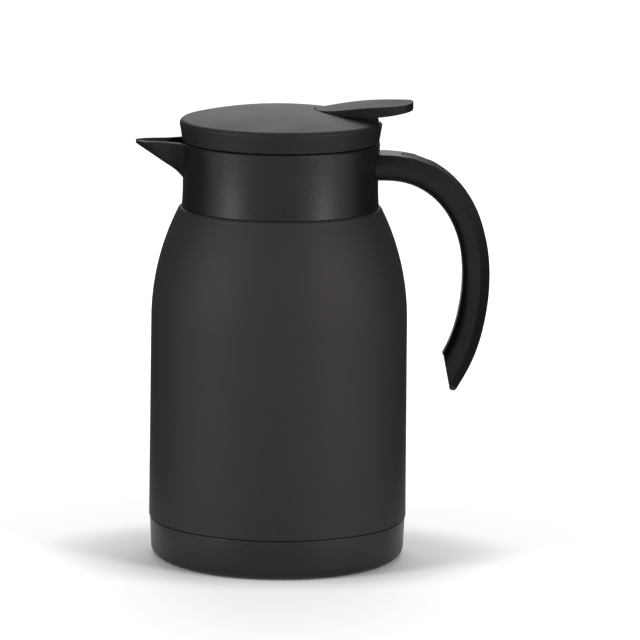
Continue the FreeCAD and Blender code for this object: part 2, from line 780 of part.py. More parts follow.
def lever_slot():
    """Opening in the lid for the lever: leaf-shaped in front, post-shaped behind."""
    low = LID_Z + POST_RISE - POST_SWING
    high = DOME_TOP_Z + OVER
    keep = Part.makeBox(SLOT_END_X, 2 * BODY_R, high - low, Vector(0, -BODY_R, low))
    front = leaf_prism(LEVER_SLOT, low, high).common(keep)
    post = post_prism(POST_SLOT, low, high)
    notch_z = LID_Z + NOTCH_RISE
    half = POST_HALF + NOTCH_FIT
    notch = Part.makeBox(BODY_R, 2 * half, high - notch_z, Vector(PIN_X, -half, notch_z))
    return front.multiFuse([post, notch])


def lid_boss_angles():
    """Angles of the lid's screws, one straight over the spout."""
    return spaced(LID_SCREW_COUNT, SPOUT_DEG)


def make_lid_cap():
    """Dome with the lever's slot, the two pin lugs and the screw bosses."""
    shell = lid_form()
    inner_top = DOME_TOP_Z - DOME_T / 2
    under_dome = turned(
        at(0, LID_Z),
        at(LID_INNER_R + LID_WALL / 2, LID_Z),
        at(LID_INNER_R + LID_WALL / 2, dome_z(LID_INNER_R) - DOME_T / 2),
        (at(LID_INNER_R / 2, dome_z(LID_INNER_R / 2) - DOME_T / 2), at(0, inner_top)),
    )
    boss = disc(LID_BOSS_R, COVER_TOP_Z, DOME_TOP_Z, LID_SCREW_PCR)
    hole_top = COVER_TOP_Z + LID_SCREW_REACH + SCREW_FIT
    hole = disc(LID_SCREW_R + SCREW_FIT, COVER_TOP_Z - OVER, hole_top, LID_SCREW_PCR)
    bosses = [turned_copy(boss, a) for a in lid_boss_angles()]
    lug_low = PIN_Z - LUG_DROP
    lugs = []
    for y in (POST_HALF + LUG_GAP, -POST_HALF - LUG_GAP - LUG_T):
        corner = Vector(PIN_X - LUG_HALF_X, y, lug_low)
        lugs.append(Part.makeBox(2 * LUG_HALF_X, LUG_T, DOME_TOP_Z - lug_low, corner))
    inner_pieces = [piece.common(under_dome) for piece in bosses + lugs]
    cap = fused([shell.cut(lever_slot())] + inner_pieces)
    pin_len = 2 * (POST_HALF + LUG_GAP + LUG_T)
    pin_hole = Part.makeCylinder(PIN_R + PIN_FIT, pin_len, Vector(PIN_X, -pin_len / 2, PIN_Z), ALONG_Y)
    cap = cap.cut(pin_hole)
    for a in lid_boss_angles():
        cap = cap.cut(turned_copy(hole, a))
    return cap


# Stopper, cover and lid screws
def make_stopper():
    """Stopper cup: threaded band with pour windows, plug with the seal groove, floor with the valve seat."""
    band_in = STOPPER_R - STOPPER_WALL
    plug_in = PLUG_R - PLUG_WALL
    shelf_z = SHELF_IN_Z + PLUG_FLOOR
    floor_z = PLUG_Z + PLUG_FLOOR
    flange_z = STOPPER_TOP_Z - STOPPER_FLANGE_T
    groove_low = PLUG_Z + SEAL_GROOVE_Z
    groove_r = PLUG_R - SEAL_GROOVE_D
    cup = turned(
        at(PORT_HOLE_R, PLUG_Z),
        at(PLUG_R, PLUG_Z),
        at(PLUG_R, groove_low),
        at(groove_r, groove_low),
        at(groove_r, groove_low + SEAL_GROOVE_H),
        at(PLUG_R, groove_low + SEAL_GROOVE_H),
        at(PLUG_R, SHELF_IN_Z),
        at(STOPPER_R, SHELF_IN_Z),
        at(STOPPER_R, STOPPER_TOP_Z),
        at(STOPPER_FLANGE_IN_R, STOPPER_TOP_Z),
        at(STOPPER_FLANGE_IN_R, flange_z),
        at(band_in, flange_z),
        at(band_in, shelf_z),
        at(plug_in, shelf_z),
        at(plug_in, floor_z),
        at(PORT_HOLE_R + SEAT_LIP_W, floor_z),
        at(PORT_HOLE_R + SEAT_LIP_W, SEAT_Z),
        at(PORT_HOLE_R, SEAT_Z),
    )
    window_z = shelf_z + WINDOW_LOW
    window = Part.makeCylinder(STOPPER_R + OVER, WINDOW_H, Vector(0, 0, window_z), UP, WINDOW_DEG)
    window = window.cut(disc(band_in - STOPPER_WALL, window_z - OVER, window_z + WINDOW_H + OVER))
    hole = disc(LID_SCREW_HOLE_R, flange_z - OVER, STOPPER_TOP_Z + OVER, LID_SCREW_PCR)
    cuts = [turned_copy(window, a - WINDOW_DEG / 2) for a in spaced(WINDOW_COUNT, SPOUT_DEG)]
    cuts += [turned_copy(hole, a) for a in lid_boss_angles()]
    for cut in cuts:
        cup = cup.cut(cut)
    return cup


def make_stopper_seal():
    """Lipped ring in the stopper's groove that closes the flask's neck."""
    low = PLUG_Z + SEAL_GROOVE_Z + SEAL_FIT
    high = PLUG_Z + SEAL_GROOVE_Z + SEAL_GROOVE_H - SEAL_FIT
    root_r = PLUG_R - SEAL_GROOVE_D + SEAL_FIT
    lip_r = FLASK_NECK_R - SEAL_FIT
    middle = (low + high) / 2
    return turned(
        at(root_r, low),
        at(PLUG_R, low),
        at(lip_r, middle - SEAL_LIP_H / 2),
        at(lip_r, middle + SEAL_LIP_H / 2),
        at(PLUG_R, high),
        at(root_r, high),
    )


def make_chamber_cover():
    """Plate over the stopper with the stem's guide and the gasket groove."""
    boss_low = STOPPER_TOP_Z - COVER_BOSS_DOWN
    boss_high = COVER_TOP_Z + COVER_BOSS_UP
    plate = fused([disc(COVER_R, STOPPER_TOP_Z, COVER_TOP_Z), disc(COVER_BOSS_R, boss_low, boss_high)])
    guide = disc(STEM_R + STEM_FIT, boss_low - OVER, boss_high + OVER)
    oring_seat = disc(STEM_R + STEM_FIT + 2 * ORING_R, boss_high - 2 * ORING_R, boss_high + OVER)
    groove = tube(COVER_GASKET_IN_R, COVER_GASKET_OUT_R, STOPPER_TOP_Z, STOPPER_TOP_Z + COVER_GASKET_T)
    cover = plate.cut(guide).cut(oring_seat).cut(groove)
    hole = disc(LID_SCREW_HOLE_R, STOPPER_TOP_Z - OVER, COVER_TOP_Z + OVER, LID_SCREW_PCR)
    for a in lid_boss_angles():
        cover = cover.cut(turned_copy(hole, a))
    return cover


def make_cover_gasket():
    """Flat ring between the cover and the stopper."""
    return tube(
        COVER_GASKET_IN_R + SEAL_FIT,
        COVER_GASKET_OUT_R - SEAL_FIT,
        STOPPER_TOP_Z,
        STOPPER_TOP_Z + COVER_GASKET_T,
    )


def make_stem_oring():
    """Ring that keeps the stem's guide tight."""
    middle_r = STEM_R + STEM_FIT + ORING_R
    middle_z = COVER_TOP_Z + COVER_BOSS_UP - ORING_R
    return Part.makeTorus(middle_r, ORING_R - SEAL_FIT / 2, Vector(0, 0, middle_z), UP)


def make_lid_screws():
    """Screws from inside the stopper up into the lid's bosses."""
    flange_z = STOPPER_TOP_Z - STOPPER_FLANGE_T
    head = disc(LID_SCREW_HEAD_R, flange_z - LID_SCREW_HEAD_H, flange_z, LID_SCREW_PCR)
    shank = disc(LID_SCREW_R, flange_z, COVER_TOP_Z + LID_SCREW_REACH, LID_SCREW_PCR)
    screw = fused([head, shank])
    return Part.makeCompound([turned_copy(screw, a) for a in lid_boss_angles()])


# Thumb lever and its pin
def lever_slab(bottom_z):
    """Crowned slab whose top is the lever's top face."""
    wires = []
    half = LEVER_HALF + OVER
    for share, rise in LEVER_TOP_RISES:
        x = LEVER_TIP_X + share * (LEVER_END_X - LEVER_TIP_X)
        z = LID_Z + rise
        steps = [
            Vector(x, -half, z - LEVER_CROWN),
            (Vector(x, 0, z + LEVER_CROWN), Vector(x, half, z - LEVER_CROWN)),
            Vector(x, half, bottom_z),
        ]
        wires.append(closed_wire(Vector(x, -half, bottom_z), steps))
    return Part.makeLoft(wires, True)


def tab_underside():
    """Tool whose top is the tab's underside, falling to a knee and rising to the rear."""
    knee = Vector(LEVER_UNDER_X, 0, LID_Z + LEVER_UNDER_RISE)
    front = Vector(0, 0, knee.z + LEVER_UNDER_FALL)
    end = Vector(LEVER_END_X + OVER, 0, LID_Z + TAB_END_RISE)
    foot = [Vector(end.x, 0, LID_Z), Vector(0, 0, LID_Z)]
    face = Part.Face(closed_wire(front, [knee, bowed(knee, end, TAB_SAG)] + foot))
    wide = 2 * (LEVER_HALF + OVER)
    face.translate(Vector(0, -wide / 2, 0))
    return face.extrude(Vector(0, wide, 0))


def thumb_dish():
    """Scoop for the thumb: an arc across the lever, turned about a line over it."""
    bottom = LID_Z + DISH_FLOOR_RISE
    run_r = (DISH_HALF_X ** 2 + DISH_DEPTH ** 2) / (2 * DISH_DEPTH)
    across_r = (DISH_HALF_Y ** 2 + DISH_DEPTH ** 2) / (2 * DISH_DEPTH)
    half = DISH_HALF_X + OVER
    lift = run_r - math.sqrt(run_r ** 2 - half ** 2)
    axis_z = bottom + across_r
    start = Vector(DISH_X - half, 0, bottom + lift)
    end = Vector(DISH_X + half, 0, bottom + lift)
    axis = [Vector(end.x, 0, axis_z), Vector(start.x, 0, axis_z)]
    wire = closed_wire(start, [(Vector(DISH_X, 0, bottom), end)] + axis)
    return Part.Face(wire).revolve(Vector(0, 0, axis_z), ALONG_X, 360)


def make_thumb_lever():
    """Leaf-shaped lever: tab with a thumb dish, post on the pin, and the arm that lifts the valve."""
    top = DOME_TOP_Z + 2 * OVER
    skirt_z = LID_Z + LEVER_SKIRT_RISE
    post_z = LID_Z + POST_RISE
    leaf = leaf_prism(0, skirt_z, top).common(lever_slab(LID_Z))
    tab = leaf.cut(tab_underside())
    keep = Part.makeBox(LEVER_SKIRT_X, 2 * BODY_R, top - skirt_z, Vector(0, -BODY_R, skirt_z))
    skirt = leaf.common(keep)
    post = post_prism(0, post_z, LID_Z + POST_TOP_RISE)
    lever = fused([tab, skirt, post])
    rim_z = LID_Z + LEVER_TOP_RISES[0][1]
    tops = [edge for edge in lever.Edges if edge.Length > LEVER_HALF and edge.BoundBox.ZMin > rim_z]
    lever = lever.makeFillet(LEVER_EDGE_R, tops).cut(thumb_dish())
    arm_face = Part.Face(closed_wire(Vector(LEVER_SKIRT_X, 0, post_z), [
        Vector(LEVER_SKIRT_X, 0, post_z + 2 * ARM_T),
        Vector(LEVER_TIP_X, 0, ARM_Z + 2 * ARM_T),
        Vector(ARM_KNEE_X, 0, ARM_Z + ARM_T),
        Vector(ARM_END_X, 0, ARM_Z + ARM_T),
        Vector(ARM_END_X, 0, ARM_Z),
        Vector(ARM_KNEE_X, 0, ARM_Z),
    ]))
    arm_face.translate(Vector(0, -ARM_HALF, 0))
    arm = arm_face.extrude(Vector(0, 2 * ARM_HALF, 0))
    ridge = Part.makeCylinder(RIDGE_R, 2 * ARM_HALF, Vector(0, -ARM_HALF, ARM_Z + ARM_T), ALONG_Y)
    fork_half = STEM_R + FORK_FIT
    fork = Part.makeBox(OVER + fork_half - ARM_END_X, 2 * fork_half, OVER + ARM_T + CLIP_T,
                        Vector(ARM_END_X - OVER, -fork_half, ARM_Z - OVER / 2))
    lever = fused([lever, arm, ridge]).cut(fork)
    bore = Part.makeCylinder(PIN_R + PIN_FIT, 4 * LEVER_HALF, Vector(PIN_X, -2 * LEVER_HALF, PIN_Z), ALONG_Y)
    return lever.cut(bore)


def make_lever_pin():
    """Cross pin in the lid's lugs."""
    length = 2 * (POST_HALF + LUG_GAP + LUG_T)
    return Part.makeCylinder(PIN_R, length, Vector(PIN_X, -length / 2, PIN_Z), ALONG_Y)


# Pour valve
def make_valve_stem():
    """Stem with the foot that holds the seal."""
    foot = disc(FOOT_R, VALVE_Z - FOOT_H, VALVE_Z)
    return fused([foot, disc(STEM_R, VALVE_Z, CLIP_Z + CLIP_T + STEM_TOP)])


def make_valve_seal():
    """Soft ring that closes on the stopper's seat."""
    return tube(STEM_R, VALVE_SEAL_R, VALVE_Z, DISC_Z)


def make_valve_disc():
    """Plate that backs the seal and carries the spring."""
    return tube(STEM_R, VALVE_DISC_R, DISC_Z, DISC_TOP_Z)


def make_stem_clip():
    """Collar near the stem's top that the lever's fork lifts."""
    return tube(STEM_R, CLIP_R, CLIP_Z, CLIP_Z + CLIP_T)


def helix_point(angle, low, pitch):
    """Point and direction of the spring's centre line."""
    x = SPRING_R * math.cos(angle)
    y = SPRING_R * math.sin(angle)
    climb = pitch / (2 * math.pi)
    return Vector(x, y, low + climb * angle), Vector(-y, x, climb).normalize()


def biarc(p0, t0, p1, t1):
    """Two tangent arcs from one point and direction to another."""
    gap = p1 - p0
    both = t0 + t1
    a = 2 * (1 - t0.dot(t1))
    b = gap.dot(both)
    d = (-b + math.sqrt(b * b + a * gap.dot(gap))) / a
    q0 = p0 + t0 * d
    q1 = p1 - t1 * d
    joint = (q0 + q1) * 0.5
    edges = []
    for start, control, end in ((p0, q0, joint), (joint, q1, p1)):
        chord_mid = (start + end) * 0.5
        toward = control - chord_mid
        half = (end - start).Length / 2
        bow = half * math.tan(math.atan2(toward.Length, half) / 2)
        edges.append(Part.Arc(start, chord_mid + toward.normalize() * bow, end).toShape())
    return edges


def make_valve_spring():
    """Coil spring between the valve disc and the cover, one unbroken wire."""
    low = DISC_TOP_Z + SPRING_GAP + SPRING_WIRE_R
    high = STOPPER_TOP_Z - SPRING_GAP - SPRING_WIRE_R
    pitch = (high - low) / SPRING_TURN_COUNT
    edges = []
    steps = 4 * SPRING_TURN_COUNT
    for i in range(steps):
        p0, t0 = helix_point(i * math.pi / 2, low, pitch)
        p1, t1 = helix_point((i + 1) * math.pi / 2, low, pitch)
        edges += biarc(p0, t0, p1, t1)
    start, way = helix_point(0, low, pitch)
    section = Part.Wire(Part.makeCircle(SPRING_WIRE_R, start, way))
    print("spring: least gap between turns", round(pitch - 2 * SPRING_WIRE_R, 2))
    return Part.Wire(edges).makePipeShell([section], True, False)


NODES = {
    "outer_shell": make_outer_shell,
    "inner_flask": make_inner_flask,
    "bottom_plate": make_bottom_plate,
    "sealing_bead": make_sealing_bead,
    "getter_pellet": make_getter_pellet,
    "base_cap": make_base_cap,
    "base_pad": make_base_pad,
    "collar": make_collar,
    "collar_gasket": make_collar_gasket,
    "handle": make_handle,
    "handle_back_strip": make_handle_back_strip,
    "handle_screws": make_handle_screws,
    "stopper_seal": make_stopper_seal,
    "lid_cap": make_lid_cap,
    "stopper": make_stopper,
    "chamber_cover": make_chamber_cover,
    "cover_gasket": make_cover_gasket,
    "stem_oring": make_stem_oring,
    "lid_screws": make_lid_screws,
    "lever_pin": make_lever_pin,
    "thumb_lever": make_thumb_lever,
    "valve_stem": make_valve_stem,
    "valve_disc": make_valve_disc,
    "valve_seal": make_valve_seal,
    "stem_clip": make_stem_clip,
    "valve_spring": make_valve_spring,
}

os.makedirs("parts", exist_ok=True)
for node, make in NODES.items():
    shape = make()
    print(node, len(shape.Solids), "solid", round(shape.Volume, 1), "mm3", shape.isValid())
    shape.exportStep("parts/" + node + ".step")
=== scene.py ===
# %% [markdown]
# # A black thermal jug
# The solids of this jug come from a construction program, already assembled and jointed.
# This lesson dresses them: it loads the assembly, sets up the photographer's view, makes the
# finishes one by one, and remodels the pieces whose surface needs more than the plain solids give.

# %% Load the assembled jug
import math

import bmesh
import bpy
from mathutils import Matrix, Vector


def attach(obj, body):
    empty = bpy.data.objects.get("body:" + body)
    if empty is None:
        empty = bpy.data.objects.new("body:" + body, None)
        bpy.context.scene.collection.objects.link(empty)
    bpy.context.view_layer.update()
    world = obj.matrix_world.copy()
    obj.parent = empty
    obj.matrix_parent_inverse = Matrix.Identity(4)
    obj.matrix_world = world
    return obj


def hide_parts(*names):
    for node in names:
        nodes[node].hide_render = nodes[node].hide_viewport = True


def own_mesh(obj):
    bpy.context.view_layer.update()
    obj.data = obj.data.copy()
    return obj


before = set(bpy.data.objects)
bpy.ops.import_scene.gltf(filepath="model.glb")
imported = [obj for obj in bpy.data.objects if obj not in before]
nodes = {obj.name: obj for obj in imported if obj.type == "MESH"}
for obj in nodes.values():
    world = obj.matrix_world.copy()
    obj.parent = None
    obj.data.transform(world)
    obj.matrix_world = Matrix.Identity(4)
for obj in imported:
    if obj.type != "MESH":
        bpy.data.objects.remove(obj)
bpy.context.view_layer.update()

# %% [markdown]
# ## The view
# The photograph was taken from a good distance with a long lens, a little above the lid.
# The camera stands 2.5 m in front of the jug and looks down by about ten degrees, with a trace
# of turn and roll, all found by fitting the jug's rims and its axis to the picture.
# A tracking constraint could aim it, but three named angles say exactly where it looks.

# %% Camera
PHOTO_WIDTH_PX = 640
FOCAL_PX = 5057.6
SENSOR_MM = 36.0
CAMERA_PLACE = Vector((0.0, -2.5, 0.5751))
LOOK_DOWN = math.radians(10.31)
LOOK_ASIDE = math.radians(0.47)
ROLL = math.radians(0.64)

ahead = Vector((math.sin(LOOK_ASIDE), math.cos(LOOK_ASIDE), 0.0))
forward = math.cos(LOOK_DOWN) * ahead - math.sin(LOOK_DOWN) * Vector((0.0, 0.0, 1.0))
right = Vector((math.cos(LOOK_ASIDE), -math.sin(LOOK_ASIDE), 0.0))
upward = right.cross(forward)
camera_x = math.cos(ROLL) * right + math.sin(ROLL) * upward
camera_y = -math.sin(ROLL) * right + math.cos(ROLL) * upward

lens = bpy.data.cameras.new("photo_lens")
lens.sensor_width = SENSOR_MM
lens.lens = FOCAL_PX / PHOTO_WIDTH_PX * SENSOR_MM
camera = bpy.data.objects.new("photo_camera", lens)
bpy.context.scene.collection.objects.link(camera)
turn = Matrix((camera_x, camera_y, -forward)).transposed().to_4x4()
camera.matrix_world = Matrix.Translation(CAMERA_PLACE) @ turn
bpy.context.scene.camera = camera
bpy.context.scene.view_settings.view_transform = "Standard"
print("lens", round(lens.lens, 1), "mm")

# %% [markdown]
# ## The studio
# Two upright soft boxes stand left and right of the camera and draw the two broad pale bands
# down the body. A third hangs behind the jug and above it, and lights the top of the lid and the lever.
# Area lamps do the work of soft boxes, because their size gives the soft edge of the bands.

# %% Lamps
BODY_AIM, LID_AIM = (0, 0, 0.12), (0, 0, 0.2)


def soft_box(name, place, aim, width, height, watts):
    lamp = bpy.data.lights.new(name, "AREA")
    lamp.shape = "RECTANGLE"
    lamp.size = width
    lamp.size_y = height
    lamp.energy = watts
    holder = bpy.data.objects.new(name, lamp)
    bpy.context.scene.collection.objects.link(holder)
    holder.location = place
    holder.rotation_euler = (Vector(aim) - Vector(place)).to_track_quat("-Z", "Y").to_euler()
    return holder


soft_box("left_soft_box", (-1.36, -0.85, 0.5), BODY_AIM, width=0.42, height=1.3, watts=21)
soft_box("right_soft_box", (1.24, -1.0, 0.5), BODY_AIM, width=0.42, height=1.3, watts=21)
soft_box("top_soft_box", (0.05, 0.8, 0.95), LID_AIM, width=1.0, height=0.7, watts=7.6)

# %% [markdown]
# ## Room and floor
# The jug stands on a pale floor in a white room. More light would make both white, but it would wash out
# the black finishes. So a Light Path node tells the rays apart: what the camera or a mirror-like surface
# looks at is white, while the light that falls on the jug stays at a plain level.


# %% Helper for nodes
def add_node(tree, kind, inputs=None, **settings):
    """New node whose inputs, by name or number, are linked to a socket or set to a value."""
    node = tree.nodes.new(kind)
    for name, value in settings.items():
        setattr(node, name, value)
    for name, value in (inputs or {}).items():
        if isinstance(value, bpy.types.NodeSocket):
            tree.links.new(value, node.inputs[name])
        else:
            node.inputs[name].default_value = value
    return node


def looked_at(tree):
    """One where a ray comes from the camera, a mirror-like surface or a clear one."""
    path = add_node(tree, "ShaderNodeLightPath")
    total = path.outputs["Is Camera Ray"]
    for name in ("Is Glossy Ray", "Is Transmission Ray"):
        both = {0: total, 1: path.outputs[name]}
        total = add_node(tree, "ShaderNodeMath", both, operation="MAXIMUM").outputs[0]
    return total


# %% White room
ROOM_LIGHT, ROOM_WHITE = 0.3, 1.0
world = bpy.data.worlds.new("studio")
world.use_nodes = True
bpy.context.scene.world = world
sky = world.node_tree
room = sky.nodes["Background"]
room.inputs["Color"].default_value = (1.0, 1.0, 1.0, 1.0)
levels = {"Value": looked_at(sky), "To Min": ROOM_LIGHT, "To Max": ROOM_WHITE}
strength = add_node(sky, "ShaderNodeMapRange", levels)
sky.links.new(strength.outputs["Result"], room.inputs["Strength"])
print("room light", ROOM_LIGHT, "on the jug,", ROOM_WHITE, "to look at")

# %% [markdown]
# The floor has a grey of its own, so it shows the jug's soft shadow. Away from the jug it has to go over
# into the white of the room. Two rings of painted light do that: a glow, seen by the camera and in
# reflections, that rises with distance from the jug, one ring close round the shadow and one far out. So the
# dim zone next to the jug is real shadow plus painted shade where the glow is held back, and the close ring
# paints the shadow's soft edge. The rings are oval, so this painted shade round the jug is wider than it is
# deep.

# %% Floor paint
FLOOR_GREY = (0.8, 0.8, 0.8, 1.0)
# Shape of the painted light on the floor: the held-back glow near the jug is painted shade
PAINTED_SHADE_OVAL = (0.86, 1.34, 1.0)
PAINTED_LIGHT_RINGS = ((0.066, 0.118, 0.32), (0.12, 1.6, 0.5))

floor_paint = bpy.data.materials.new("pale_floor")
floor_paint.use_nodes = True
paint = floor_paint.node_tree
matt = paint.nodes["Principled BSDF"]
matt.inputs["Base Color"].default_value = FLOOR_GREY
matt.inputs["Roughness"].default_value = 0.9
matt.inputs["Specular IOR Level"].default_value = 0.0
matt.inputs["Emission Color"].default_value = (1.0, 1.0, 1.0, 1.0)

spot = add_node(paint, "ShaderNodeTexCoord").outputs["Object"]
oval = add_node(paint, "ShaderNodeMapping", {"Vector": spot, "Scale": PAINTED_SHADE_OVAL})
away = add_node(paint, "ShaderNodeVectorMath", {0: oval.outputs["Vector"]}, operation="LENGTH")
painted_glows = {}
for number, (start, end, most) in enumerate(PAINTED_LIGHT_RINGS):
    rise = {"Value": away.outputs["Value"], "From Min": start, "From Max": end, "To Max": most}
    ring = add_node(paint, "ShaderNodeMapRange", rise, interpolation_type="SMOOTHSTEP")
    painted_glows[number] = ring.outputs["Result"]
# Painted light: both rings together, an emission that leaves painted shade close round the jug
glow = add_node(paint, "ShaderNodeMath", painted_glows)
seen = add_node(paint, "ShaderNodeMath", {0: looked_at(paint), 1: glow.outputs[0]}, operation="MULTIPLY")
paint.links.new(seen.outputs[0], matt.inputs["Emission Strength"])
print("glow rings:", len(PAINTED_LIGHT_RINGS))


# %% Floor
def stage_sheet(name, corners, material):
    """Flat sheet that belongs to the studio, not to the jug."""
    mesh = bpy.data.meshes.new(name)
    mesh.from_pydata(corners, [], [(0, 1, 2, 3)])
    mesh.materials.append(material)
    sheet = bpy.data.objects.new(name, mesh)
    bpy.context.scene.collection.objects.link(sheet)
    return sheet


REACH = 6.0
floor_corners = [(-REACH, -REACH, 0), (REACH, -REACH, 0), (REACH, REACH, 0), (-REACH, REACH, 0)]
stage_sheet("floor", floor_corners, floor_paint)
print("floor reaches", REACH, "m each way")

# %% [markdown]
# ## Dark flags
# A black object on a white floor gets a bright rim, because a grazing look mirrors the floor behind it.
# Photographers stand dark cards beside the object, just out of the picture. Here two grey cards do that work.
# The right rim is the darker one, so its card is darker. Both show only in reflections: the ray visibility
# switches keep them out of the picture and the shadows.

# %% Cards beside the jug
CARD_NEAR, CARD_FAR, CARD_HEIGHT = (0.125, -0.03), (0.2, 1.1), 0.34
LEFT_GREY, RIGHT_GREY = 0.09, 0.045


def dark_card(name, side, grey):
    """Upright card that only reflections show."""
    card_paint = bpy.data.materials.new(name + "_paint")
    card_paint.use_nodes = True
    shader = card_paint.node_tree.nodes["Principled BSDF"]
    shader.inputs["Base Color"].default_value = (grey, grey, grey, 1.0)
    shader.inputs["Specular IOR Level"].default_value = 0.0
    foot = [(side * x, y, 0) for x, y in (CARD_NEAR, CARD_FAR)]
    head = [(x, y, CARD_HEIGHT) for x, y, z in reversed(foot)]
    card = stage_sheet(name, foot + head, card_paint)
    card.visible_camera = False
    card.visible_diffuse = False
    card.visible_shadow = False


dark_card("left_card", -1, LEFT_GREY)
dark_card("right_card", 1, RIGHT_GREY)
print("cards stand", CARD_NEAR[0], "m beside the axis")

# %% [markdown]
# ## Finishes
# Everything outside is black, so the eye tells the pieces apart by their gloss and their grain.
# Each finish could be a material drawn by hand, but all share one build: fine noise is the grain, drawn as a
# bump and as a trace of light and dark, and a broad cloud makes the gloss a little uneven.
# So one helper builds them, and each finish is a line of numbers that can be compared with its neighbours.

# %% Helper for grained finishes
GRAIN_DETAIL, GRAIN_STRENGTH, CLOUD_PER_M = 3.0, 0.5, 45.0
DARK_STOP, LIGHT_STOP = 0.3, 0.7


def finish(name, colour, roughness, grain_per_m, grain_depth, metal=0.0, specular=0.5, mottle=0.25,
           gloss_spread=0.06, tint=(1, 1, 1), stretch=(1, 1, 1)):
    mat = bpy.data.materials.new(name)
    mat.use_nodes = True
    tree = mat.node_tree
    shader = tree.nodes["Principled BSDF"]
    shader.inputs["Metallic"].default_value = metal
    shader.inputs["Specular IOR Level"].default_value = specular
    shader.inputs["Specular Tint"].default_value = (*tint, 1.0)
    where = add_node(tree, "ShaderNodeTexCoord").outputs["Object"]

    drawn = add_node(tree, "ShaderNodeMapping", {"Vector": where, "Scale": stretch}).outputs["Vector"]
    noise = {"Vector": drawn, "Scale": grain_per_m, "Detail": GRAIN_DETAIL}
    grain = add_node(tree, "ShaderNodeTexNoise", noise).outputs["Fac"]
    relief = {"Height": grain, "Distance": grain_depth, "Strength": GRAIN_STRENGTH}
    bump = add_node(tree, "ShaderNodeBump", relief)
    tree.links.new(bump.outputs["Normal"], shader.inputs["Normal"])

    shades = add_node(tree, "ShaderNodeValToRGB", {"Fac": grain})
    stops = ((DARK_STOP, 1 - mottle), (LIGHT_STOP, 1 + mottle))
    for stop, (place, share) in zip(shades.color_ramp.elements, stops):
        stop.position = place
        stop.color = [c * share for c in colour] + [1.0]
    tree.links.new(shades.outputs["Color"], shader.inputs["Base Color"])

    cloud = add_node(tree, "ShaderNodeTexNoise", {"Vector": where, "Scale": CLOUD_PER_M}).outputs["Fac"]
    span = {"Value": cloud, "To Min": roughness - gloss_spread, "To Max": roughness + gloss_spread}
    gloss = add_node(tree, "ShaderNodeMapRange", span)
    tree.links.new(gloss.outputs["Result"], shader.inputs["Roughness"])
    return mat


# %% [markdown]
# ### Black outside
# The steel shell has a powder coat: dull, with a soft orange peel. Collar, handle, lid, lever and base are
# mouldings with a spark-eroded grain, dullest on the lid. A plain black would look dead, so each has
# a low diffuse colour and a weak reflection with a trace of warmth, as the photograph shows.

# %% Powder coat and mouldings
WARM = (1.0, 0.91, 0.96)
LID_BLACK = (0.0036, 0.0034, 0.0036)

powder_coat = finish("powder_coat", (0.0145, 0.0128, 0.0134), 0.58, 1100, 0.00002,
                     specular=0.205, mottle=0.12, gloss_spread=0.03, tint=WARM)
moulded_black = finish("moulded_black", (0.0046, 0.0043, 0.0045), 0.37, 1000, 0.00014,
                       specular=0.23, tint=WARM)
handle_grain = finish("handle_grain", (0.0042, 0.0038, 0.0042), 0.4, 1100, 0.0001, specular=0.17, tint=WARM)
lid_grain = finish("lid_grain", LID_BLACK, 0.6, 900, 0.0003, specular=0.22, tint=WARM)
lever_grain = finish("lever_grain", LID_BLACK, 0.58, 900, 0.0003, specular=0.14, tint=WARM)
base_grain = finish("base_grain", (0.0095, 0.0086, 0.009), 0.4, 1300, 0.0001, specular=0.23, tint=WARM)
soft_grip = finish("soft_grip", (0.006, 0.006, 0.0062), 0.62, 3000, 0.00003, specular=0.15)
pad_rubber = finish("pad_rubber", (0.02, 0.02, 0.02), 0.85, 2200, 0.00004)
print("materials with the black finishes:", len(bpy.data.materials))

# %% [markdown]
# ### Steel
# The flask is brushed round its axis: the same grain, but stretched far along X and Y and kept fine along Z,
# so the scratches run round. Screws, pin, clip and spring are bright wire and bar, the vacuum plug is solder,
# and the getter is a dull pressed powder.

# %% Metals
brushed_steel = finish("brushed_steel", (0.55, 0.54, 0.53), 0.3, 2600, 0.00002,
                       metal=1.0, mottle=0.12, stretch=(0.03, 0.03, 1))
bright_steel = finish("bright_steel", (0.56, 0.56, 0.57), 0.28, 3000, 0.00001, metal=1.0, mottle=0.05)
solder = finish("solder", (0.42, 0.42, 0.43), 0.45, 900, 0.00003, metal=1.0, mottle=0.1)
sintered = finish("sintered", (0.2, 0.19, 0.18), 0.8, 2500, 0.00006, mottle=0.3)
print("materials with the metals:", len(bpy.data.materials))

# %% [markdown]
# ### Plastics inside the lid
# The stopper is plain black plastic, the valve pale plastic, and the seals are milky silicone.
# Silicone could be made translucent, but these thin rings sit in grooves, where no light shines through.

# %% Plastics and seals
inner_black = finish("inner_black", (0.03, 0.03, 0.031), 0.4, 1500, 0.00001)
pale_plastic = finish("pale_plastic", (0.5, 0.5, 0.48), 0.4, 1500, 0.00001, mottle=0.05)
silicone = finish("silicone", (0.62, 0.62, 0.6), 0.5, 900, 0.00001, mottle=0.04)
print("materials with the inside of the lid:", len(bpy.data.materials))

# %% [markdown]
# ### Who wears what
# A solid keeps its own mesh and only gets a material. A list of finishes, each with its solids, shows at
# a glance which pieces are made of the same stuff.

